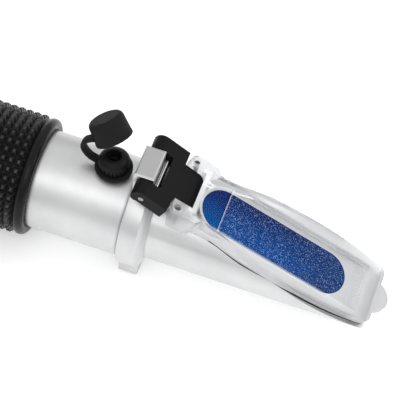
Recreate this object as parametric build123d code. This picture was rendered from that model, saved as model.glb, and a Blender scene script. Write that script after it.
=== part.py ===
"""Handheld refractometer with automatic temperature compensation, in millimetres.

Frame: the origin is the centre of the flat foot under the collar, +X runs along the barrel to the
prism's tip, +Z is up, and the eyepiece is at -X.
"""
import os
from math import atan, cos, sin, sqrt

from build123d import *

# ---- driving dimensions ----------------------------------------------------------------------
AXIS_Z = 16.5              # height of the barrel's axis above the foot
TUBE_R = 13.5              # outside of the barrel tube
TUBE_BORE = 12.3
TUBE_REAR = -84.0
COLLAR_HALF = 2.6          # the collar runs this far each side of the foot's centre
COLLAR_R = 15.0
CONE_END = 4.4             # where the collar's cone meets the head
HEAD_R = 11.75
HEAD_TIP = 65.2
FOOT_HALF_WIDTH = 9.5
SPIGOT_REAR = -16.0        # the head's spigot inside the tube
SPIGOT_BORE = 9.5
LIGHT_BORE = 6.3           # bore of the head behind the prism

SLOPE = atan(0.406)        # the prism face falls this much towards the tip
FACE_X, FACE_Z = 36.2, AXIS_Z + 4.83   # middle of the prism on the sloping face
PRISM_R = 6.1              # half width of the prism's rounded outline
PRISM_SPAN = 31.5          # distance between the centres of its two rounded ends
PRISM_DEPTH = 5.0
SEAL = 0.25
BEZEL = 0.75

GRIP_FRONT, GRIP_REAR = -28.5, -82.0
GRIP_R = 16.5              # tips of the grip's studs, level with the foot
GRIP_LIP_R = 16.3
GRIP_ROOT_R = 15.2
STUD_PITCH = 2.2

PIN_X, PIN_Z, PIN_R = 1.4, AXIS_Z + 19.1, 0.75
BLOCK_REAR, BLOCK_FRONT = -2.3, 3.2         # hinge block on top of the collar
BLOCK_HALF_WIDTH = 5.1
BLOCK_TOP = AXIS_Z + 22.4
FRICTION_PIN_R = 0.8
FRICTION_PIN_X, FRICTION_PIN_Z = BLOCK_FRONT + 0.6, PIN_Z - 1.0
EAR_OUT, EAR_IN = 9.9, 5.3                  # bracket's ears, outer and inner faces
BRACKET_SCOOP = 3.9                         # hollow round the pin that clears the block
BRACKET_SHOULDER = 8.5                      # the ears end here and the tongue goes on
TONGUE_HALF_WIDTH = 5.9
TONGUE_TIP = 14.35
RUNNING = 0.03                              # radial play of a pin or shaft

COVER_TOP = 3.0            # cover's top face above the prism face
COVER_ROOF = 1.2
COVER_GAP = 0.15
SKIRT_SLOPE = atan(0.275)  # lower edge of the cover's skirts
SKIRT_X, SKIRT_Z = 17.0, AXIS_Z + 8.88
COVER_SCREW_X, COVER_SCREW_Y = 11.0, 8.0
COVER_SCREW_R, COVER_SCREW_HEAD_R = 0.6, 0.95
SCREW_LOW, SCREW_SEAT = AXIS_Z + 13.6, AXIS_Z + 16.4

BOSS_X = -9.2              # calibration boss, on top of the tube
BOSS_R = 4.2
RING_Z = AXIS_Z + 14.95    # underside of the cap's ring round the boss
RING_R, RING_T = 5.07, 1.0
NECK_R = 3.9               # the boss's neck, which the ring snaps round
SHOULDER_Z = RING_Z + RING_T + 0.05
BOSS_TOP = AXIS_Z + 20.1
SCREW_R = 1.45
CAP_TALL = 6.5
CAP_PIVOT = (-19.16, 6.49, AXIS_Z + 17.44)  # the bending strap swings the cap about this line
CAP_AXIS = (-0.521, -0.840, 0.152)
CAP_OPEN = 41.96           # degrees from seated on the boss to hanging open

RING_FRONT = -85.5         # focus ring, free to move 1.2 either way
RETICLE_X = -66.0


# ---- helpers ---------------------------------------------------------------------------------
def turned(*points):
    """Solid of revolution about the barrel's axis from (x, radius) points."""
    return Pos(0, 0, AXIS_Z) * revolve(make_face(Polyline(*points, close=True)), Axis.X)


def ring(x0, x1, outer, inner):
    return turned((x0, inner), (x1, inner), (x1, outer), (x0, outer))


def rod(x0, x1, radius):
    return turned((x0, 0), (x1, 0), (x1, radius), (x0, radius))


def lens(x0, x1, radius, rear_sag, front_sag):
    """Lens on the barrel's axis: its edge runs from x0 to x1 and each face bulges by its sag."""
    clear = radius - 1.0        # the bulge stops at a flat rim, where the retaining rings bear

    def face(x, sag, side):
        if sag == 0:
            return Line((x, 0), (x, clear))
        ball = (clear ** 2 + sag ** 2) / (2 * sag)
        middle = sag - ball + sqrt(ball ** 2 - clear ** 2 / 4)
        return ThreePointArc((x + side * sag, 0), (x + side * middle, clear / 2), (x, clear))

    outline = [face(x0, rear_sag, -1), Polyline((x0, clear), (x0, radius), (x1, radius), (x1, clear))]
    outline += [face(x1, front_sag, 1), Line((x0 - rear_sag, 0), (x1 + front_sag, 0))]
    return Pos(0, 0, AXIS_Z) * revolve(make_face(outline), Axis.X)


def block(x0, x1, y0, y1, z0, z1):
    return Pos((x0 + x1) / 2, (y0 + y1) / 2, (z0 + z1) / 2) * Box(x1 - x0, y1 - y0, z1 - z0)


def post(x, y, z0, z1, radius):
    """Upright cylinder."""
    return Pos(x, y, (z0 + z1) / 2) * Cylinder(radius, z1 - z0)


def cross_rod(x, z, half_length, radius):
    """Cylinder along Y, centred on y = 0."""
    return Pos(x, 0, z) * Rot(90, 0, 0) * Cylinder(radius, 2 * half_length)


def sloping_plane(x, z, slope):
    """Plane through (x, 0, z) that falls towards the tip, with its normal up."""
    return Plane(origin=(x, 0, z), x_dir=(cos(slope), 0, -sin(slope)), z_dir=(sin(slope), 0, cos(slope)))


# Local frame of the prism face: x runs down to the tip, z is the face's normal.
FACE = sloping_plane(FACE_X, FACE_Z, SLOPE)
SKIRT = sloping_plane(SKIRT_X, SKIRT_Z, SKIRT_SLOPE)


def obround(radius, low, high):
    """Round-ended bar on the prism face, from height low to height high along its normal."""
    outline = SlotCenterToCenter(PRISM_SPAN, 2 * radius)
    return FACE * Pos(0, 0, low) * extrude(outline, high - low)


def half_space(plane, side, gap=0.0):
    """Everything over (side 1) or under (side -1) a plane raised by gap, to cut with."""
    size = 200
    return plane * Pos(0, 0, gap + side * size / 2) * Box(size, size, size)


# ---- prism head ------------------------------------------------------------------------------
def make_head():
    outside = turned(
        (SPIGOT_REAR, 0), (HEAD_TIP, 0), (HEAD_TIP, HEAD_R - 0.5), (HEAD_TIP - 0.5, HEAD_R),
        (CONE_END, HEAD_R), (CONE_END - 0.5, HEAD_R + 0.9), (COLLAR_HALF + 0.6, COLLAR_R - 0.9),
        (COLLAR_HALF, COLLAR_R - 0.25),
        (COLLAR_HALF - 0.25, COLLAR_R), (-COLLAR_HALF + 0.25, COLLAR_R), (-COLLAR_HALF, COLLAR_R - 0.25),
        (-COLLAR_HALF, TUBE_BORE), (SPIGOT_REAR + 0.6, TUBE_BORE), (SPIGOT_REAR, TUBE_BORE - 0.6))
    head = outside - half_space(FACE, 1)
    half = BLOCK_HALF_WIDTH
    hinge = block(BLOCK_REAR, BLOCK_FRONT, -half, half, AXIS_Z + 8, BLOCK_TOP)
    hinge = chamfer(hinge.edges().group_by(Axis.Z)[-1], 0.5)
    toe = block(BLOCK_FRONT - 0.5, BLOCK_FRONT + 1.4, -half, half, AXIS_Z + 8, PIN_Z - 1.8)
    foot = block(-COLLAR_HALF, COLLAR_HALF, -FOOT_HALF_WIDTH, FOOT_HALF_WIDTH, 0, AXIS_Z - 8)
    foot = chamfer(foot.edges().filter_by(Axis.X).group_by(Axis.Z)[0], 0.6)
    head += hinge + toe + foot
    head += obround(PRISM_R + SEAL + BEZEL, -4, 0)
    head -= rod(SPIGOT_REAR - 1, COLLAR_HALF + 2, SPIGOT_BORE)
    head -= rod(COLLAR_HALF, 40, LIGHT_BORE)
    head -= obround(PRISM_R + SEAL, -PRISM_DEPTH, 4)
    head -= obround(PRISM_R - 0.8, -9, 4)
    head -= ring(-14.6, -12.8, 14, TUBE_BORE - 1.1)                     # groove for the seal
    head -= post(BOSS_X, 0, AXIS_Z + 8, AXIS_Z + 13, 2.0)               # way in for the screw
    head -= cross_rod(PIN_X, PIN_Z, 12, PIN_R)
    head -= cross_rod(FRICTION_PIN_X, FRICTION_PIN_Z, half + 0.1, FRICTION_PIN_R)
    return head


def make_prism():
    return obround(PRISM_R, -PRISM_DEPTH, 0)


def make_prism_seal():
    return obround(PRISM_R + SEAL, -PRISM_DEPTH, -0.02) - obround(PRISM_R, -PRISM_DEPTH - 1, 1)


# ---- barrel ----------------------------------------------------------------------------------
def make_tube():
    tube = ring(TUBE_REAR, -COLLAR_HALF, TUBE_R, TUBE_BORE)
    return tube - post(BOSS_X, 0, AXIS_Z + 8, AXIS_Z + 16, 2.6)


def make_grip():
    """Rubber sleeve with a round lip at each end and a ring of studs at each pitch."""
    lip = 3.0
    outline = [(GRIP_REAR, TUBE_R), (GRIP_FRONT, TUBE_R), (GRIP_FRONT, GRIP_LIP_R - 1.0)]
    outline += [(GRIP_FRONT - 0.5, GRIP_LIP_R - 0.2), (GRIP_FRONT - 1.4, GRIP_LIP_R)]
    outline += [(GRIP_FRONT - 2.5, GRIP_LIP_R - 0.2), (GRIP_FRONT - lip, GRIP_ROOT_R)]
    start = GRIP_FRONT - lip - 0.4
    rows = int((start - GRIP_REAR - lip - 0.4) / STUD_PITCH)
    for row in range(rows):
        front = start - row * STUD_PITCH
        outline += [(front, GRIP_ROOT_R), (front - 0.75, GRIP_R), (front - 1.25, GRIP_R)]
        outline += [(front - 2.0, GRIP_ROOT_R)]
    outline += [(GRIP_REAR + lip, GRIP_ROOT_R), (GRIP_REAR + 2.5, GRIP_LIP_R - 0.2)]
    outline += [(GRIP_REAR + 1.4, GRIP_LIP_R), (GRIP_REAR + 0.5, GRIP_LIP_R - 0.2)]
    outline += [(GRIP_REAR, GRIP_LIP_R - 1.0)]
    return turned(*outline)


def make_reticle_parts():
    holder = ring(RETICLE_X - 3, RETICLE_X + 3, TUBE_BORE, 8.6)
    holder -= ring(RETICLE_X - 4, RETICLE_X + 1, 10.5, 8)
    glass = rod(RETICLE_X - 0.5, RETICLE_X + 1, 10.4)
    keeper = ring(RETICLE_X - 2.3, RETICLE_X - 0.5, 10.5, 8.8)
    return holder, glass, keeper


def make_sleeve():
    """Threaded sleeve at the tube's rear, which guides the ocular."""
    rear = TUBE_REAR - 7.0
    sleeve = ring(TUBE_REAR, -72, TUBE_BORE, 10.0) + ring(rear, TUBE_REAR + 0.5, 11.6, 10.0)
    turns = 5
    grooves = [ring(rear + 0.3 + turn, rear + 0.65 + turn, 12, 11.2) for turn in range(turns)]
    return sleeve - grooves


# ---- calibration boss, screw and compensated objective ---------------------------------------
def make_boss():
    profile = Polyline(
        (0, AXIS_Z + 11), (3.6, AXIS_Z + 11), (3.6, RING_Z - 0.05), (NECK_R, RING_Z - 0.05),
        (NECK_R, SHOULDER_Z), (BOSS_R, SHOULDER_Z), (BOSS_R, AXIS_Z + 18.3),
        (4.0, AXIS_Z + 18.9), (3.5, AXIS_Z + 19.4), (2.6, AXIS_Z + 19.9), (2.0, BOSS_TOP), (0, BOSS_TOP),
        close=True)
    boss = Pos(BOSS_X, 0, 0) * revolve(make_face(Plane.XZ * profile), Axis.Z)
    boss -= rod(BOSS_X - 8, BOSS_X + 8, TUBE_R)
    boss += post(BOSS_X, 0, AXIS_Z + TUBE_BORE + 0.02, AXIS_Z + 14, 2.6)
    boss -= post(BOSS_X, 0, AXIS_Z + 10, BOSS_TOP + 1, SCREW_R + 0.05)
    boss -= post(BOSS_X, 0, AXIS_Z + 18.4, BOSS_TOP + 1, 1.65)
    ribs = 24
    flute = post(BOSS_R + 0.12, 0, SHOULDER_Z + 0.35, AXIS_Z + 19.2, 0.34)
    flutes = [Pos(BOSS_X, 0, 0) * Rot(0, 0, 360 / ribs * k) * flute for k in range(ribs)]
    return boss - flutes


def make_cap_ring():
    neck = post(BOSS_X, 0, RING_Z - 1, RING_Z + 2, NECK_R + 0.02)
    return post(BOSS_X, 0, RING_Z, RING_Z + RING_T, RING_R) - neck


def make_cap(grow=0.0):
    """Cup that fits over the boss; made seated, then swung open about the strap's bending line."""
    shell = Polyline(
        (0, 0), (5.2 + grow, -grow), (5.2 + grow, 0.6), (5.1 + grow, 1.0), (4.9 + grow, CAP_TALL - 1.2),
        (4.75 + grow, CAP_TALL - 0.65), (4.4 + grow, CAP_TALL - 0.22), (3.9 + grow, CAP_TALL + grow),
        (0, CAP_TALL + grow), close=True)
    cap = revolve(make_face(Plane.XZ * shell), Axis.Z)
    if not grow:
        hollow = Polyline((0, -1), (4.68, -1), (4.65, 0), (4.4, 4.4), (4.0, 5.0), (0, 5.1), close=True)
        cap -= revolve(make_face(Plane.XZ * hollow), Axis.Z)
    cap = Pos(BOSS_X, 0, SHOULDER_Z) * cap
    return cap.rotate(Axis(CAP_PIVOT, CAP_AXIS), CAP_OPEN)


def make_cap_strap():
    """Short tether from the ring round the boss up to the side of the open cap."""
    route = FilletPolyline(
        (BOSS_X - 4.3, 0.6, RING_Z + 0.5), (-17.4, 0.4, AXIS_Z + 18.0), (-18.3, 0.0, AXIS_Z + 21.6),
        (-14.6, -0.1, AXIS_Z + 24.4), radius=1.6)
    start = Plane(origin=route @ 0, x_dir=(0, 1, 0), z_dir=route % 0)
    strap = sweep(start * Rectangle(2.1, 1.0), path=route)
    return strap - make_cap(0.1) - post(BOSS_X, 0, RING_Z - 1, RING_Z + 3, RING_R)


def make_calibration_screw():
    tip, top = AXIS_Z + 7.45, AXIS_Z + 18.2
    screw = post(BOSS_X, 0, tip, top, SCREW_R)
    return screw - block(BOSS_X - 3, BOSS_X + 3, -0.25, 0.25, top - 0.8, top + 1)


def make_objective_guide():
    """Frame in the spigot whose two cheeks let the objective cell move up and down only."""
    frame = ring(-14.5, -5.5, SPIGOT_BORE, 0.0)
    frame -= block(-13, -5, -7.65, 7.65, AXIS_Z - 12, AXIS_Z + 12)
    return frame - rod(-20, -5, 7.6)


def make_objective():
    """Cell, lens, ring, bimetal strip and its rivets: they move together."""
    front, rear = -5.7, -12.8
    middle = (front + rear) / 2
    cell = block(rear, front, -7.55, 7.55, AXIS_Z - 7.0, AXIS_Z + 7.0)
    cell = chamfer(cell.edges().filter_by(Axis.X), 1.9)
    cell -= block(rear + 1.6, front - 1.6, -2.4, 2.4, AXIS_Z + 6.7, AXIS_Z + 8)
    cell -= rod(rear - 1, front + 1, 5.2) + rod(middle - 1.2, front + 1, 6.05)
    glass = lens(middle - 1.2, middle + 1.2, 6.0, 0.7, 0.6)
    keeper = ring(middle + 1.2, middle + 2.6, 6.05, 5.3)
    strip = block(rear + 0.1, front - 0.1, -2.0, 2.0, AXIS_Z + 7.0, AXIS_Z + 7.4)
    rivets = []
    for x in (rear + 0.85, front - 0.85):
        strip -= post(x, 0, AXIS_Z + 6, AXIS_Z + 8, 0.4)
        cell -= post(x, 0, AXIS_Z + 6.2, AXIS_Z + 8, 0.4)
        shank = post(x, 0, AXIS_Z + 6.2, AXIS_Z + 7.4, 0.4)
        rivets.append(shank + post(x, 0, AXIS_Z + 7.4, AXIS_Z + 7.7, 0.7))
    return cell, glass, keeper, strip, Compound(children=rivets)


def make_return_spring():
    low, high = AXIS_Z - SPIGOT_BORE + 0.35, AXIS_Z - 7.05
    wire = 0.2
    coil = Helix(pitch=0.6, height=high - low - 2 * wire, radius=1.6)
    start = Plane(origin=coil @ 0, z_dir=coil % 0)
    return Pos(BOSS_X, 0, low + wire) * sweep(start * Circle(wire), path=coil)


def make_baffle():
    return ring(1.0, 2.0, SPIGOT_BORE, 5.5)


def make_head_seal():
    return ring(-14.5, -12.9, TUBE_BORE, TUBE_BORE - 1.1)


# ---- hinge and daylight cover ----------------------------------------------------------------
def make_hinge_pin():
    return cross_rod(PIN_X, PIN_Z, EAR_OUT - 0.1, PIN_R)


def make_friction_pin():
    """Slotted spring pin along the hinge block's front, on its toe."""
    x, z = FRICTION_PIN_X, FRICTION_PIN_Z
    pin = cross_rod(x, z, BLOCK_HALF_WIDTH - 0.1, FRICTION_PIN_R) - cross_rod(x, z, 10, 0.45)
    return pin - block(x - 0.12, x + 0.12, -10, 10, z + 0.2, z + 1)


def make_bracket():
    """Black hinge bracket: two ears with round hubs, a body and a tongue that holds the cover."""
    profile = [
        (0.2, AXIS_Z + 18.0), (6.9, AXIS_Z + 14.2), (BRACKET_SHOULDER, AXIS_Z + 13.0),
        (TONGUE_TIP - 0.25, AXIS_Z + 13.0), (TONGUE_TIP, AXIS_Z + 14.2), (TONGUE_TIP - 0.55, AXIS_Z + 15.0),
        (2.2, AXIS_Z + 21.6), (1.2, AXIS_Z + 21.9), (0.3, AXIS_Z + 21.75), (-0.5, AXIS_Z + 21.3),
        (-1.1, AXIS_Z + 20.6), (-1.45, AXIS_Z + 19.8), (-1.45, AXIS_Z + 19.0), (-1.1, AXIS_Z + 18.4),
        (-0.5, AXIS_Z + 18.05)]
    side = Plane.XZ * make_face(Polyline(*profile, close=True))
    bracket = extrude(side, EAR_OUT, both=True)
    bracket -= block(-10, PIN_X, -EAR_IN, EAR_IN, 0, 60)
    bracket -= cross_rod(PIN_X, PIN_Z, EAR_IN, BRACKET_SCOOP)
    bracket -= block(0, PIN_X + BRACKET_SCOOP - 0.2, -EAR_IN, EAR_IN, PIN_Z - 8, PIN_Z)
    ear_end = Polyline(
        (6.6, AXIS_Z + 13.6), (BRACKET_SHOULDER, AXIS_Z + 17.6), (BRACKET_SHOULDER, AXIS_Z + 30),
        (30, AXIS_Z + 30), (30, AXIS_Z), (6.6, AXIS_Z), close=True)
    beyond = extrude(Plane.XZ * make_face(ear_end), 30, both=True)
    outline = RectangleRounded(2 * (TONGUE_TIP - 6.0), 2 * TONGUE_HALF_WIDTH, 2.0)
    tongue = extrude(Pos(6.0, 0) * outline, 60)
    bracket -= beyond - tongue
    return bracket - cross_rod(PIN_X, PIN_Z, 20, PIN_R + RUNNING)


def cover_outline(widths):
    """Half outline from (u, half width) points of the side, mirrored and closed."""
    rear, lug, nose = -30.0, 9.7, 31.3
    tip_u, tip_w = widths[-1]
    upper = [
        Line((rear, 0), (rear, lug - 2)), RadiusArc((rear, lug - 2), (rear + 2, lug), 2),
        Line((rear + 2, lug), (-23.4, lug)),
        Spline((-23.4, lug), (-21.4, 8.4), widths[0], tangents=((1, 0), (1, 0))),
        Spline(*widths), RadiusArc((tip_u, tip_w), (nose, tip_w - 2.3), 2.6),
        Line((nose, tip_w - 2.3), (nose, 0))]
    edges = upper + [mirror(edge, Plane.XZ) for edge in upper]
    return make_face(edges)


def make_cover():
    """Clear daylight plate: a lid with skirts that sit on the head, and a pad over the prism."""
    top_side = [(-19.7, 7.85), (-15, 8.25), (-8, 9.8), (0, 10.7), (8, 11.05), (18, 10.75), (29.0, 9.5)]
    low_side = [(-19.7, 8.2), (-15, 8.7), (-8, 10.2), (0, 11.1), (8, 11.55), (18, 11.0), (29.0, 9.0)]
    skirt_depth = 6
    pad_thick = 2
    pad_length, pad_width, pad_middle = 45.0, 16.4, 7.0
    wall_front = -16.1          # the plate is solid behind this
    low = cover_outline(low_side)
    high = Pos(0, 0, COVER_TOP) * cover_outline(top_side)
    body = loft([low, high], ruled=True) + extrude(low, -skirt_depth)
    inner_side = [(wall_front, 6.9), (-8, 8.5), (0, 9.4), (8, 9.75), (18, 9.4), (28.0, 8.2)]
    half = [Line((wall_front, 0), inner_side[0]), Spline(*inner_side)]
    half += [Polyline(inner_side[-1], (29.8, 6.0), (29.8, 0))]
    inner = make_face(half + [mirror(edge, Plane.XZ) for edge in half])
    cavity = Pos(0, 0, -skirt_depth - 1) * extrude(inner, skirt_depth + 1 + COVER_TOP - COVER_ROOF)
    pad = block(pad_middle - pad_length / 2, pad_middle + pad_length / 2, -pad_width / 2, pad_width / 2,
                COVER_GAP, pad_thick)
    tab = Pos(30.2, 0, 1.3) * (extrude(Circle(4.6), 1.2) - Pos(-5, 0, 0) * Box(10, 20, 10))
    cover = FACE * (body - (cavity - pad) + tab)
    cover -= half_space(FACE, -1, COVER_GAP) & half_space(SKIRT, -1)
    cover -= rod(-20, HEAD_TIP + 0.3, HEAD_R + 0.2) - half_space(FACE, 1, COVER_GAP)
    cover -= obround(PRISM_R + SEAL + BEZEL + 0.2, -5, COVER_GAP)
    slot = TONGUE_HALF_WIDTH + 0.02
    cover -= block(0, TONGUE_TIP + 0.1, -slot, slot, AXIS_Z + 13, 60)
    cover -= block(0, BRACKET_SHOULDER + 0.1, -20, 20, 0, 60)
    for side in (-1, 1):
        cover -= post(COVER_SCREW_X, side * COVER_SCREW_Y, SCREW_LOW, SCREW_SEAT, COVER_SCREW_R)
        cover -= post(COVER_SCREW_X, side * COVER_SCREW_Y, SCREW_SEAT, SCREW_SEAT + 9, COVER_SCREW_HEAD_R)
    return cover


def make_cover_screws():
    screws = []
    for side in (-1, 1):
        shaft = post(COVER_SCREW_X, side * COVER_SCREW_Y, SCREW_LOW, SCREW_SEAT, COVER_SCREW_R)
        head = post(COVER_SCREW_X, side * COVER_SCREW_Y, SCREW_SEAT, SCREW_SEAT + 0.6, COVER_SCREW_HEAD_R)
        screws.append(shaft + head)
    return Compound(children=screws)


# ---- eyepiece --------------------------------------------------------------------------------
def make_ocular():
    """Sliding eyepiece: cell, two lenses, spacer and retaining ring."""
    flange = -95.6
    cell = ring(-94.0, -76.5, 9.93, 8.4) + ring(flange, -93.0, 12.8, 7.0) - rod(-94.4, -76, 8.4)
    eye = lens(-94.3, -92.3, 8.35, 0, 2.2)
    spacer = ring(-92.3, -82.5, 8.35, 7.6)
    field = lens(-82.5, -80.5, 8.35, 0, 1.8)
    keeper = ring(-80.5, -77.6, 8.35, 7.4)
    return cell, eye, spacer, field, keeper


def make_focus_ring():
    focus = turned(
        (RING_FRONT, 12.0), (RING_FRONT, 14.9), (RING_FRONT - 0.6, 15.5), (-91.4, 15.5), (-92.0, 14.2),
        (-96.2, 14.2), (-96.2, 13.1), (-92.7, 13.1), (-92.7, 12.0))
    grooves = 36
    flute = Pos(-88.7, 15.75, 0) * Rot(0, 90, 0) * Cylinder(0.5, 4.4)
    flutes = [Pos(0, 0, AXIS_Z) * Rot(360 / grooves * k, 0, 0) * flute for k in range(grooves)]
    return focus - flutes


def make_eyecup():
    """Soft rubber cup that stretches over the rear of the focus ring."""
    return turned(
        (-92.0, 14.2), (-92.0, 15.3), (-94.0, 15.7), (-97.5, 15.6), (-100.2, 16.1), (-101.0, 15.7),
        (-100.8, 14.9), (-98.4, 13.2), (-97.6, 9.4), (-97.2, 8.8), (-96.3, 8.8), (-96.2, 9.4), (-96.2, 14.2))


# ---- write every piece -----------------------------------------------------------------------
def build():
    cell, lens, keeper, strip, rivets = make_objective()
    ocular_cell, eye, spacer, field, ocular_ring = make_ocular()
    holder, reticle, reticle_ring = make_reticle_parts()
    return {
        "prism_head": make_head(), "main_prism": make_prism(), "prism_seal": make_prism_seal(),
        "light_baffle": make_baffle(), "head_seal": make_head_seal(), "barrel_tube": make_tube(),
        "rubber_grip": make_grip(), "screw_boss": make_boss(), "cap_ring": make_cap_ring(),
        "cap_strap": make_cap_strap(), "rubber_cap": make_cap(),
        "calibration_screw": make_calibration_screw(),
        "objective_guide": make_objective_guide(), "objective_cell": cell, "objective_lens": lens,
        "objective_ring": keeper, "bimetal_strip": strip, "strip_rivets": rivets,
        "return_spring": make_return_spring(), "reticle_holder": holder, "scale_reticle": reticle,
        "reticle_ring": reticle_ring, "eyepiece_sleeve": make_sleeve(), "hinge_pin": make_hinge_pin(),
        "friction_pin": make_friction_pin(), "hinge_bracket": make_bracket(), "cover_plate": make_cover(),
        "cover_screws": make_cover_screws(), "ocular_cell": ocular_cell, "eye_lens": eye,
        "lens_spacer": spacer, "field_lens": field, "ocular_ring": ocular_ring,
        "focus_ring": make_focus_ring(), "eyecup": make_eyecup()}


os.makedirs("parts", exist_ok=True)
for name, shape in build().items():
    export_step(shape, f"parts/{name}.step")
    print(name, round(shape.volume, 2))
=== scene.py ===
"""Looks of the handheld refractometer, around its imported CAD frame.

Every mesh ends up in metres. Values that are written in millimetres are scaled by MM.
"""
import math

import bmesh
import bpy
from mathutils import Matrix, Vector


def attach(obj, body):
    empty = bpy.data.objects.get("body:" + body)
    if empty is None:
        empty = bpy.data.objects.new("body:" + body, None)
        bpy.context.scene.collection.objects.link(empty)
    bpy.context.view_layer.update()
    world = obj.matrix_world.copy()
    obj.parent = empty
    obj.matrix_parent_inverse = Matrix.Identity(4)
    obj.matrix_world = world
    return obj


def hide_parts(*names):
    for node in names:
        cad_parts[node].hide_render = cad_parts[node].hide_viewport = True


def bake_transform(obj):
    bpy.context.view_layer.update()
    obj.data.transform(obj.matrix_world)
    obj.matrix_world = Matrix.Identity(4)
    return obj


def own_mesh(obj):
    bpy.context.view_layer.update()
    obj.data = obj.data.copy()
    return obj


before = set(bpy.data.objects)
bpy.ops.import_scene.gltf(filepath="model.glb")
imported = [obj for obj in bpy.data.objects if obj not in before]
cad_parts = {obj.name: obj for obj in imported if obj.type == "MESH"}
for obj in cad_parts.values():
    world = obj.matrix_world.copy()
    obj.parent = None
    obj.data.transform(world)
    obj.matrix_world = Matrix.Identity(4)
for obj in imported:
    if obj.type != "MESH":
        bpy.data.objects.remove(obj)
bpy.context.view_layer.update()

MM = 0.001
AXIS = 16.5 * MM                       # height of the barrel's axis
ORIGIN = Vector((0, 0, 0))
ALONG_X, ALONG_Y, ALONG_Z = Vector((1, 0, 0)), Vector((0, 1, 0)), Vector((0, 0, 1))

# Planes of the head's sloping face and of the lower edge of the cover's skirts.
FACE_POINT = Vector((36.2, 0, 21.33)) * MM
FACE_SLOPE = math.atan(0.406)
DOWNHILL = Vector((math.cos(FACE_SLOPE), 0, -math.sin(FACE_SLOPE)))
FACE_NORMAL = Vector((math.sin(FACE_SLOPE), 0, math.cos(FACE_SLOPE)))
SKIRT_POINT = Vector((17.0, 0, 25.38)) * MM
SKIRT_SLOPE = math.atan(0.275)
SKIRT_NORMAL = Vector((math.sin(SKIRT_SLOPE), 0, math.cos(SKIRT_SLOPE)))

# Places on the cover, in millimetres along the sloping face from FACE_POINT, or across it.
REFLECTION_BAND_REAR = -25.6                      # the painted white reflection band runs from here to the window
WINDOW_REAR, WINDOW_FRONT = -23.2, 22.5
WINDOW_HALF_WIDTH = 7.4
PAD_REAR = -15.5
# Bounds of the painted shadow line along the near skirt.
SHADOW_LINE_REAR, SHADOW_LINE_SIDE = -17.5, -8.4
TAB_START = 30.4

# Places on the head, in millimetres.
CREASE_SHADE_FADE, CREASE_SHADE_END = 9.0, 12.0    # x between which the painted shade in its creases fades out
SHADED_TOP_LOW, SHADED_TOP_HIGH = 38.55, 38.8  # heights between which the painted shade on the hinge block's top sets in
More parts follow.
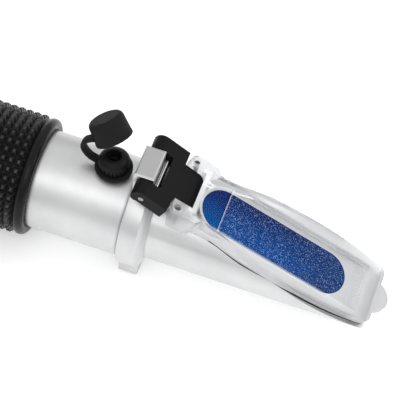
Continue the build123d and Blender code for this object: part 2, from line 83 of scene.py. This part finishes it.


# ---- node helpers ----------------------------------------------------------------------------
class Shader:
    """A material with one Principled shader and short ways to add nodes to it."""

    def __init__(self, name, colour, roughness, metallic=0.0, **sockets):
        self.material = bpy.data.materials.new(name)
        self.material.use_nodes = True
        self.tree = self.material.node_tree
        self.principled = self.tree.nodes["Principled BSDF"]
        self.set("Base Color", (*colour, 1))
        self.set("Roughness", roughness)
        self.set("Metallic", metallic)
        for socket, value in sockets.items():
            self.set(socket.replace("_", " "), value)

    def set(self, socket, value):
        self.principled.inputs[socket].default_value = value

    def node(self, kind, **values):
        """Adds a node. Each value sets the node's own property or else its input of that name."""
        made = self.tree.nodes.new(kind)
        for key, value in values.items():
            if hasattr(made, key):
                setattr(made, key, value)
            else:
                made.inputs[key.replace("_", " ")].default_value = value
        return made

    def link(self, source, target):
        self.tree.links.new(source, target)

    def place(self, scale=(1, 1, 1)):
        """The point on the surface, in millimetres of the piece's own frame, times scale."""
        coords = self.node("ShaderNodeTexCoord")
        mapping = self.node("ShaderNodeMapping")
        mapping.inputs["Scale"].default_value = [s / MM for s in scale]
        self.link(coords.outputs["Object"], mapping.inputs["Vector"])
        return mapping.outputs["Vector"]

    def noise(self, size, scale=(1, 1, 1), detail=3.0):
        """Noise whose features are about size millimetres across."""
        made = self.node("ShaderNodeTexNoise", Scale=1 / size, Detail=detail)
        self.link(self.place(scale), made.inputs["Vector"])
        return made.outputs["Fac"]

    def ramp(self, factor, low, high):
        """Runs between two stops, each a position and an rgb triple."""
        made = self.node("ShaderNodeValToRGB")
        for element, (position, colour) in zip(made.color_ramp.elements, (low, high)):
            element.position = position
            element.color = (*colour, 1)
        self.link(factor, made.inputs["Fac"])
        return made.outputs["Color"]

    def bump(self, height, strength, distance):
        made = self.node("ShaderNodeBump", Strength=strength, Distance=distance * MM)
        self.link(height, made.inputs["Height"])
        self.link(made.outputs["Normal"], self.principled.inputs["Normal"])

    def vary(self, socket, factor, low, high):
        """Runs a number socket between low and high over the surface."""
        made = self.node("ShaderNodeMapRange")
        made.inputs["To Min"].default_value = low
        made.inputs["To Max"].default_value = high
        self.link(factor, made.inputs["Value"])
        self.link(made.outputs["Result"], self.principled.inputs[socket])

    def colour(self, output):
        self.link(output, self.principled.inputs["Base Color"])

    def measure(self, direction, origin):
        """How far the surface point is past origin along direction, in millimetres."""
        coords = self.node("ShaderNodeTexCoord")
        dot = self.node("ShaderNodeVectorMath", operation="DOT_PRODUCT")
        self.link(coords.outputs["Object"], dot.inputs[0])
        dot.inputs[1].default_value = direction / MM
        shift = self.node("ShaderNodeMath", operation="SUBTRACT")
        self.link(dot.outputs["Value"], shift.inputs[0])
        shift.inputs[1].default_value = direction.dot(origin) / MM
        return shift.outputs["Value"]

    def steepness(self):
        """How far the surface faces up or down: 0 on an upright wall, 1 on a level one."""
        coords = self.node("ShaderNodeTexCoord")
        split = self.node("ShaderNodeSeparateXYZ")
        self.link(coords.outputs["Normal"], split.inputs["Vector"])
        return self.absolute(split.outputs["Z"])

    def step(self, value, low, high):
        """Rises from 0 at low to 1 at high; low above high makes it fall."""
        made = self.node("ShaderNodeMapRange")
        made.inputs["From Min"].default_value = low
        made.inputs["From Max"].default_value = high
        self.link(value, made.inputs["Value"])
        return made.outputs["Result"]

    def absolute(self, value):
        made = self.node("ShaderNodeMath", operation="ABSOLUTE")
        self.link(value, made.inputs[0])
        return made.outputs["Value"]

    def combine(self, operation, first, *others):
        """Applies a Math operation to first and each of the others in turn."""
        for other in others:
            made = self.node("ShaderNodeMath", operation=operation)
            for value, socket in ((first, made.inputs[0]), (other, made.inputs[1])):
                if isinstance(value, (int, float)):
                    socket.default_value = value
                else:
                    self.link(value, socket)
            first = made.outputs["Value"]
        return first

    def mix(self, factor, first, second):
        """Mixes two colours, each a socket or an rgb triple."""
        made = self.node("ShaderNodeMix", data_type="RGBA")
        self.link(factor, made.inputs["Factor"])
        for value, socket in ((first, made.inputs["A"]), (second, made.inputs["B"])):
            if isinstance(value, tuple):
                socket.default_value = (*value, 1)
            else:
                self.link(value, socket)
        return made.outputs["Result"]

    def specks(self, size, cover_low, cover_high):
        """Small grains, gathered in patches."""
        cells = self.node("ShaderNodeTexVoronoi", Scale=1 / size)
        self.link(self.place(), cells.inputs["Vector"])
        grains = self.step(cells.outputs["Distance"], 0.42, 0.20)
        patches = self.step(self.noise(2.6 * size, detail=4.0), cover_low, cover_high)
        return self.combine("MULTIPLY", grains, patches)


def grey(value):
    return (value, value, value)


# ---- materials -------------------------------------------------------------------------------
def aluminium():
    """Fine-turned aluminium, with painted shade in the creases at its rear and on the top of the hinge
    block.
    """
    made = Shader("turned_aluminium", (0.74, 0.74, 0.745), 0.44, metallic=0.92)
    rings = made.noise(0.09, scale=(1, 0.02, 0.02), detail=2.0)
    made.vary("Roughness", rings, 0.36, 0.52)
    grain = made.noise(0.35, scale=(0.4, 1, 1))
    made.bump(made.combine("ADD", rings, grain), 0.22, 0.02)
    cloud = made.noise(9.0)
    turned = made.ramp(cloud, (0.3, (0.63, 0.635, 0.64)), (0.7, (0.71, 0.71, 0.715)))
    # Painted shade: creases and corners that the AO node finds occluded turn dark grey, at the rear only.
    crease_shade = made.node("ShaderNodeAmbientOcclusion", Distance=1.3 * MM)
    in_front = made.step(made.measure(ALONG_X, ORIGIN), CREASE_SHADE_FADE, CREASE_SHADE_END)
    open_to_light = made.combine("MAXIMUM", made.step(crease_shade.outputs["AO"], 0.45, 0.92), in_front)
    turned = made.mix(open_to_light, (0.10, 0.10, 0.105), turned)
    # Painted shade: the hinge block's top gets a darker grey than the turned metal.
    on_top = made.step(made.measure(ALONG_Z, ORIGIN), SHADED_TOP_LOW, SHADED_TOP_HIGH)
    made.colour(made.mix(on_top, turned, (0.50, 0.50, 0.505)))
    return made.material


def rubber(name, value, roughness, level):
    made = Shader(name, grey(value), roughness, Specular_IOR_Level=level)
    grain = made.noise(0.12)
    made.bump(grain, 0.2, 0.03)
    made.vary("Roughness", made.noise(1.6), roughness - 0.06, roughness + 0.08)
    return made.material


def anodised():
    made = Shader("black_anodised", grey(0.005), 0.30, Specular_IOR_Level=0.15)
    made.bump(made.noise(0.08), 0.12, 0.02)
    made.vary("Roughness", made.noise(1.2), 0.32, 0.44)
    return made.material


def bracket_plastic():
    made = Shader("black_bracket", grey(0.006), 0.46, Specular_IOR_Level=0.12)
    made.bump(made.noise(0.15), 0.16, 0.02)
    made.vary("Roughness", made.noise(0.9), 0.38, 0.52)
    return made.material


def metal(name, colour, roughness):
    made = Shader(name, colour, roughness, metallic=1.0)
    made.vary("Roughness", made.noise(0.25), roughness - 0.05, roughness + 0.08)
    return made.material


def prism_glass():
    """Deep blue glass: clear at its rear, speckled where the cover's frosted pad presses the sample."""
    made = Shader("blue_prism", (0.01, 0.08, 0.30), 0.35, Specular_IOR_Level=0.03)
    along = made.measure(DOWNHILL, FACE_POINT)
    across = made.measure(ALONG_Y, FACE_POINT)
    # Painted shading: the blue is lighter on the near side and darker towards the far side and the front.
    rear = made.mix(made.step(across, -5.5, 3.5), (0.000, 0.100, 0.38), (0.006, 0.026, 0.15))
    front = made.mix(made.step(across, -3.0, 5.5), (0.002, 0.078, 0.33), (0.006, 0.022, 0.13))
    front = made.mix(made.step(along, 4.0, 16.0), front, (0.010, 0.050, 0.20))
    under_pad = made.step(along, PAD_REAR, PAD_REAR + 0.25)
    blue = made.mix(under_pad, rear, front)
    bright = made.combine("MULTIPLY", made.specks(0.36, 0.36, 0.60), under_pad)
    blue = made.mix(bright, blue, (0.33, 0.48, 0.80))
    dark = made.combine("MULTIPLY", made.step(made.noise(0.5, detail=4.0), 0.54, 0.64), under_pad)
    blue = made.mix(made.combine("MULTIPLY", dark, 0.55), blue, (0.003, 0.010, 0.06))
    # Painted highlight: a thin white line along the pad's rear edge.
    line = made.combine("MULTIPLY", made.step(along, PAD_REAR - 0.35, PAD_REAR - 0.25),
                        made.step(along, PAD_REAR + 0.05, PAD_REAR - 0.05))
    made.colour(made.mix(line, blue, (1.0, 1.0, 1.0)))
    return made.material


def clear_plastic():
    """Plastic that is clear over the prism, and milkier round it and on the lifting tab.

    A painted white reflection band surrounds the tongue's tip, and a painted shadow line follows the near
    skirt's lower edge.
    """
    tint = (0.97, 0.975, 0.985)
    made = Shader("clear_cover", tint, 0.03, IOR=1.12, Specular_IOR_Level=0.5)
    along = made.measure(DOWNHILL, FACE_POINT)
    above = made.measure(FACE_NORMAL, FACE_POINT)
    skirt = made.measure(SKIRT_NORMAL, SKIRT_POINT)
    across = made.measure(ALONG_Y, FACE_POINT)
    sideways = made.absolute(across)
    window = made.combine("MULTIPLY", made.step(sideways, WINDOW_HALF_WIDTH + 0.5, WINDOW_HALF_WIDTH),
                          made.step(along, WINDOW_REAR, WINDOW_REAR + 0.4),
                          made.step(along, WINDOW_FRONT + 4.5, WINDOW_FRONT))
    # Painted reflection: a milkier white band between the tongue's tip and the window.
    band = made.combine("MULTIPLY", made.step(along, REFLECTION_BAND_REAR - 0.2, REFLECTION_BAND_REAR),
                        made.step(along, WINDOW_REAR, WINDOW_REAR - 0.4),
                        made.step(sideways, WINDOW_HALF_WIDTH, WINDOW_HALF_WIDTH - 0.4))
    # Painted shadow: a dark line along the near skirt's lower edge, where it meets the head.
    line = made.combine("MULTIPLY", made.step(made.combine("MAXIMUM", above, skirt), 1.0, 0.9),
                        made.step(across, SHADOW_LINE_SIDE, SHADOW_LINE_SIDE - 0.2),
                        made.step(along, SHADOW_LINE_REAR, SHADOW_LINE_REAR + 1.0),
                        made.step(made.steepness(), 0.6, 0.4))
    tab = made.step(along, TAB_START, TAB_START + 0.2)
    clear = made.combine("ADD", made.combine("MULTIPLY", window, 0.29), 0.71)
    # The tab is milkier; the painted reflection band and the painted shadow line also take clearness out.
    for mask, loss in ((tab, 0.35), (band, 0.35), (line, 0.6)):
        clear = made.combine("SUBTRACT", clear, made.combine("MULTIPLY", mask, loss))
    made.link(clear, made.principled.inputs["Transmission Weight"])
    shade = made.mix(tab, tint, (0.74, 0.74, 0.75))
    # The painted shadow line darkens the plastic here.
    made.colour(made.mix(line, shade, (0.03, 0.03, 0.03)))
    made.vary("Roughness", made.noise(3.0), 0.015, 0.05)
    return made.material


def lens_glass():
    made = Shader("lens_glass", (0.95, 0.98, 1.0), 0.02, Transmission_Weight=0.9, IOR=1.45,
                  Coat_Weight=0.4, Coat_Roughness=0.02, Coat_Tint=(0.7, 0.75, 1.0, 1))
    made.vary("Roughness", made.noise(4.0), 0.01, 0.03)
    return made.material


ALUMINIUM = aluminium()
BLACK_RUBBER = rubber("black_rubber", 0.005, 0.26, level=0.18)
STUD_RUBBER = rubber("stud_rubber", 0.010, 0.36, level=0.5)
SEAL = Shader("blue_seal", (0.006, 0.03, 0.13), 0.45, Specular_IOR_Level=0.1).material
CAP_RUBBER = rubber("cap_rubber", 0.014, 0.60, level=0.09)
ANODISED = anodised()
BRACKET = bracket_plastic()
STEEL = metal("bright_steel", (0.74, 0.74, 0.75), 0.2)
DARK_STEEL = metal("dark_steel", (0.10, 0.10, 0.105), 0.35)
PIN_STEEL = metal("pin_steel", (0.34, 0.34, 0.35), 0.42)
BRASS = metal("turned_brass", (0.78, 0.60, 0.30), 0.26)
PRISM = prism_glass()
CLEAR = clear_plastic()
LENS = lens_glass()

FINISHES = {
    ALUMINIUM: ("prism_head", "barrel_tube"),
    PRISM: ("main_prism",),
    CLEAR: ("cover_plate",),
    BLACK_RUBBER: ("eyecup", "head_seal"),
    SEAL: ("prism_seal",),
    CAP_RUBBER: ("cap_ring", "rubber_cap"),
    ANODISED: ("screw_boss", "focus_ring", "light_baffle", "objective_guide", "reticle_holder",
               "reticle_ring", "ocular_cell", "lens_spacer", "ocular_ring"),
    BRACKET: ("hinge_bracket",),
    STEEL: ("friction_pin", "bimetal_strip"),
    PIN_STEEL: ("hinge_pin",),
    DARK_STEEL: ("cover_screws", "calibration_screw"),
    BRASS: ("objective_cell", "objective_ring", "strip_rivets", "eyepiece_sleeve"),
    LENS: ("objective_lens", "eye_lens", "field_lens", "scale_reticle"),
}
for finish, nodes in FINISHES.items():
    for node in nodes:
        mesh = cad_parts[node].data
        mesh.materials.clear()
        mesh.materials.append(finish)


# ---- mesh helpers ----------------------------------------------------------------------------
# Takes a mesh from millimetres about the barrel's axis to metres in the frame.
FROM_BARREL = Matrix.Translation((0, 0, AXIS)) @ Matrix.Scale(MM, 4)


def round_edges(node, width):
    """Small rounded edges on a CAD node, by modifiers only. width is in millimetres."""
    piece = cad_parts[node]
    weld = piece.modifiers.new("weld", "WELD")
    weld.merge_threshold = 0.002 * MM
    bevel = piece.modifiers.new("edges", "BEVEL")
    bevel.width = width * MM
    bevel.segments = 2
    bevel.limit_method = "ANGLE"
    bevel.angle_limit = math.radians(35)
    bevel.harden_normals = True


def skin_between(mesh, first, second):
    """Joins two rings of equally many points with a band of faces."""
    for k in range(len(first)):
        after = (k + 1) % len(first)
        mesh.faces.new((first[k], first[after], second[after], second[k]))


def skin_sweep(mesh, rings):
    """Closed skin over rings along a path, with a cap at each end."""
    for first, second in zip(rings, rings[1:]):
        skin_between(mesh, first, second)
    mesh.faces.new(rings[0])
    mesh.faces.new(rings[-1])


def add_object(name, data):
    made = bpy.data.objects.new(name, data)
    bpy.context.scene.collection.objects.link(made)
    return made


def finish_mesh(mesh, name, material, smooth=True):
    """Makes an object of a mesh, with every face turned outwards."""
    bmesh.ops.recalc_face_normals(mesh, faces=mesh.faces)
    data = bpy.data.meshes.new(name)
    mesh.to_mesh(data)
    mesh.free()
    data.materials.append(material)
    for polygon in data.polygons:
        polygon.use_smooth = smooth
    return add_object(name, data)


# ---- studded rubber grip ---------------------------------------------------------------------
GRIP_FRONT, GRIP_REAR = -28.5, -82.0
GRIP_BORE, GRIP_ROOT, GRIP_TOP, GRIP_LIP = 13.5, 15.2, 16.5, 16.3
LIP = 3.0
SLEEVE_R = GRIP_ROOT - 0.1             # the sleeve between the studs
STUD_PITCH = 2.2
STUDS_ROUND = 40
STUD_BASE, STUD_TOP = (1.07, 1.15), (0.36, 0.40)  # half lengths along and round the grip
STUD_BASE_R, STUD_TOP_R = GRIP_ROOT - 0.15, GRIP_TOP - 0.03  # a base lies just inside the sleeve
ROW_GAP_FRONT, ROW_GAP_REAR = 1.4, 0.4  # least distance from a lip to the middle of a row


def add_ring(mesh, x, radius, count):
    """A ring of count vertices round the barrel's axis."""
    step = 2 * math.pi / count
    points = [Vector((x, radius * math.sin(step * k), radius * math.cos(step * k))) for k in range(count)]
    return [mesh.verts.new(point) for point in points]


def turned_mesh(profile, count):
    """Closed skin of revolution about X from (x, radius) points."""
    mesh = bmesh.new()
    rings = [add_ring(mesh, x, radius, count) for x, radius in profile]
    for first, second in zip(rings, rings[1:] + rings[:1]):
        skin_between(mesh, first, second)
    return mesh


def lip_profile(edge, inward):
    """Round lip: points from its outer end in towards the studs. inward is -1 at the front end."""
    half, rise, steps = LIP / 2, 1.3, 10
    points = [(edge, GRIP_BORE), (edge, GRIP_LIP - 1.1)]
    for step in range(steps + 1):
        turn = math.pi * (0.12 + 0.76 * step / steps)  # the arc is short of a half circle
        points.append((edge + inward * (half - half * math.cos(turn)),
                       GRIP_LIP - rise + rise * math.sin(turn)))
    points.append((edge + inward * (LIP + 0.1), SLEEVE_R))
    points.append((edge + inward * (LIP + 0.5), SLEEVE_R))
    return points


def add_stud(mesh, x, turn):
    """One four-sided stud with a small flat top."""
    corners = []
    for (half_x, half_round), radius in ((STUD_BASE, STUD_BASE_R), (STUD_TOP, STUD_TOP_R)):
        for sx, st in ((-1, -1), (1, -1), (1, 1), (-1, 1)):
            angle = turn + st * half_round / radius
            place = (x + sx * half_x, radius * math.sin(angle), radius * math.cos(angle))
            corners.append(mesh.verts.new(place))
    mesh.faces.new(corners[4:8])
    skin_between(mesh, corners[:4], corners[4:])


def make_grip():
    profile = lip_profile(GRIP_FRONT, -1) + lip_profile(GRIP_REAR, 1)[::-1]
    sleeve = finish_mesh(turned_mesh(profile, 96), "grip_sleeve", BLACK_RUBBER)
    studs = bmesh.new()
    start = GRIP_FRONT - LIP - ROW_GAP_FRONT
    rows = int((start - GRIP_REAR - LIP - ROW_GAP_REAR) / STUD_PITCH) + 1
    for row in range(rows):
        for k in range(STUDS_ROUND):
            add_stud(studs, start - row * STUD_PITCH, 2 * math.pi * k / STUDS_ROUND)
    studs = finish_mesh(studs, "grip_studs", STUD_RUBBER, smooth=False)
    bevel = studs.modifiers.new("edges", "BEVEL")
    bevel.width = 0.12 * MM
    bevel.segments = 2
    for piece in (sleeve, studs):
        piece.data.transform(FROM_BARREL)
        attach(piece, "root")
        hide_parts("rubber_grip")


# ---- spring under the objective's cell -------------------------------------------------------
def make_spring():
    """Coil spring under the objective's cell, which presses it flatter on its way down; the coil is built
    at one fixed length.
    """
    centre, low, high = -9.2, -9.15, -7.05  # its x, and its two ends from the barrel's axis
    wire, radius, pitch = 0.2, 1.6, 0.6
    steps, corners = 110, 12
    turns = (high - low - 2 * wire) / pitch
    mesh = bmesh.new()
    rings = []
    for k in range(steps + 1):
        turn = 2 * math.pi * turns * k / steps
        out = Vector((math.cos(turn), math.sin(turn), 0))
        middle = Vector((centre, 0, low + wire + pitch * turns * k / steps)) + out * radius
        ring = []
        for c in range(corners):
            around = 2 * math.pi * c / corners
            offset = out * math.cos(around) + Vector((0, 0, math.sin(around)))
            ring.append(mesh.verts.new(middle + offset * wire))
        rings.append(ring)
    skin_sweep(mesh, rings)
    spring = finish_mesh(mesh, "cell_spring", STEEL)
    spring.data.transform(FROM_BARREL)
    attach(spring, "root")
    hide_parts("return_spring")
    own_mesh(spring)


# ---- strap of the cap ------------------------------------------------------------------------
def make_strap():
    """Flat rubber tether that bows out from the ring and up to the cap's side."""
    stations = [(-13.2, 0.6, 31.95), (-15.4, 0.55, 32.3), (-17.2, 0.42, 34.2), (-18.1, 0.22, 36.6),
                (-17.9, 0.05, 39.0), (-16.4, -0.05, 40.7), (-14.9, -0.1, 41.6)]
    curve = bpy.data.curves.new("strap_line", "CURVE")
    curve.dimensions = "3D"
    spline = curve.splines.new("NURBS")
    spline.points.add(len(stations) - 1)
    for point, place in zip(spline.points, stations):
        point.co = (*(Vector(place) * MM), 1)
    spline.order_u = 4
    spline.use_endpoint_u = True
    spline.resolution_u = 12
    line = add_object("strap_line", curve)
    bpy.context.view_layer.update()
    path = [Vector(v.co) for v in bpy.data.meshes.new_from_object(line).vertices]
    bpy.data.objects.remove(line)
    mesh = bmesh.new()
    half_width, half_thick, corners = 1.2 * MM, 0.6 * MM, 16
    wide_power, thick_power = 0.45, 0.6  # below 1 these make its section fuller than an ellipse
    rings = []
    for k, place in enumerate(path):
        run = (path[min(k + 1, len(path) - 1)] - path[max(k - 1, 0)]).normalized()
        side = (ALONG_Y - run * ALONG_Y.dot(run)).normalized()
        out = run.cross(side)
        ring = []
        for c in range(corners):
            turn = 2 * math.pi * c / corners
            wide = math.copysign(abs(math.cos(turn)) ** wide_power, math.cos(turn)) * half_width
            thick = math.copysign(abs(math.sin(turn)) ** thick_power, math.sin(turn)) * half_thick
            ring.append(mesh.verts.new(place + side * wide + out * thick))
        rings.append(ring)
    skin_sweep(mesh, rings)
    strap = finish_mesh(mesh, "cap_tether", CAP_RUBBER)
    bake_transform(strap)
    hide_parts("cap_strap")


make_grip()
make_spring()
make_strap()
for node, width in (("prism_head", 0.12), ("hinge_bracket", 0.25), ("rubber_cap", 0.12),
                    ("cap_ring", 0.15), ("focus_ring", 0.1), ("calibration_screw", 0.08),
                    ("hinge_pin", 0.15), ("cover_screws", 0.1)):
    round_edges(node, width)


# ---- floor, light and camera -----------------------------------------------------------------
LAMP_AIM = Vector((0, 0, 0.02))


def make_floor():
    """White floor that glows a little, so that the object's shadow on it stays faint."""
    half = 1.6
    data = bpy.data.meshes.new("floor")
    corners = [(-half, -half, 0), (half, -half, 0), (half, half, 0), (-half, half, 0)]
    data.from_pydata(corners, [], [(0, 1, 2, 3)])
    floor = add_object("floor", data)
    paint = Shader("white_floor", grey(0.90), 0.7, Emission_Color=(1, 1, 1, 1), Emission_Strength=0.34)
    data.materials.append(paint.material)


def make_light(name, place, power, width, height):
    lamp = bpy.data.lights.new(name, "AREA")
    lamp.shape = "RECTANGLE"
    lamp.size = width
    lamp.size_y = height
    lamp.energy = power
    light = add_object(name, lamp)
    light.location = place
    light.rotation_mode = "QUATERNION"
    light.rotation_quaternion = (LAMP_AIM - Vector(place)).to_track_quat("-Z", "Y")


def make_world():
    """Soft white surround that darkens towards the horizon."""
    world = bpy.data.worlds.new("studio")
    world.use_nodes = True
    bpy.context.scene.world = world
    nodes, links = world.node_tree.nodes, world.node_tree.links
    coords = nodes.new("ShaderNodeTexCoord")
    split = nodes.new("ShaderNodeSeparateXYZ")
    ramp = nodes.new("ShaderNodeValToRGB")
    for element, position, value in zip(ramp.color_ramp.elements, (0.0, 0.5), (0.35, 1.0)):
        element.position = position
        element.color = (*grey(value), 1)
    links.new(coords.outputs["Generated"], split.inputs["Vector"])
    links.new(split.outputs["Z"], ramp.inputs["Fac"])
    links.new(ramp.outputs["Color"], nodes["Background"].inputs["Color"])
    nodes["Background"].inputs["Strength"].default_value = 0.92


def make_camera():
    azimuth, elevation, roll = math.radians(10.5), math.radians(54.77), math.radians(9.41)
    distance, target = 0.5389, Vector((17.35, 0, 27.16)) * MM
    back = Vector((math.sin(azimuth) * math.cos(elevation), -math.cos(azimuth) * math.cos(elevation),
                   math.sin(elevation)))
    right = Vector((math.cos(azimuth), math.sin(azimuth), 0))
    up = back.cross(right)
    camera_right = right * math.cos(roll) + up * math.sin(roll)
    camera_up = up * math.cos(roll) - right * math.sin(roll)
    data = bpy.data.cameras.new("camera")
    data.lens = 177.8
    data.sensor_width = 36.0
    data.clip_start = 0.05
    data.clip_end = 20.0
    camera = add_object("camera", data)
    basis = Matrix((camera_right, camera_up, back)).transposed().to_4x4()
    camera.matrix_world = Matrix.Translation(target + back * distance) @ basis
    bpy.context.scene.camera = camera


make_floor()
make_world()
make_light("key", place=(-0.05, -0.65, 0.95), power=1.9, width=0.9, height=0.5)
make_light("fill", place=(0.75, 0.25, 0.55), power=1.2, width=0.5, height=0.5)
make_camera()
bpy.context.scene.view_settings.view_transform = "Standard"
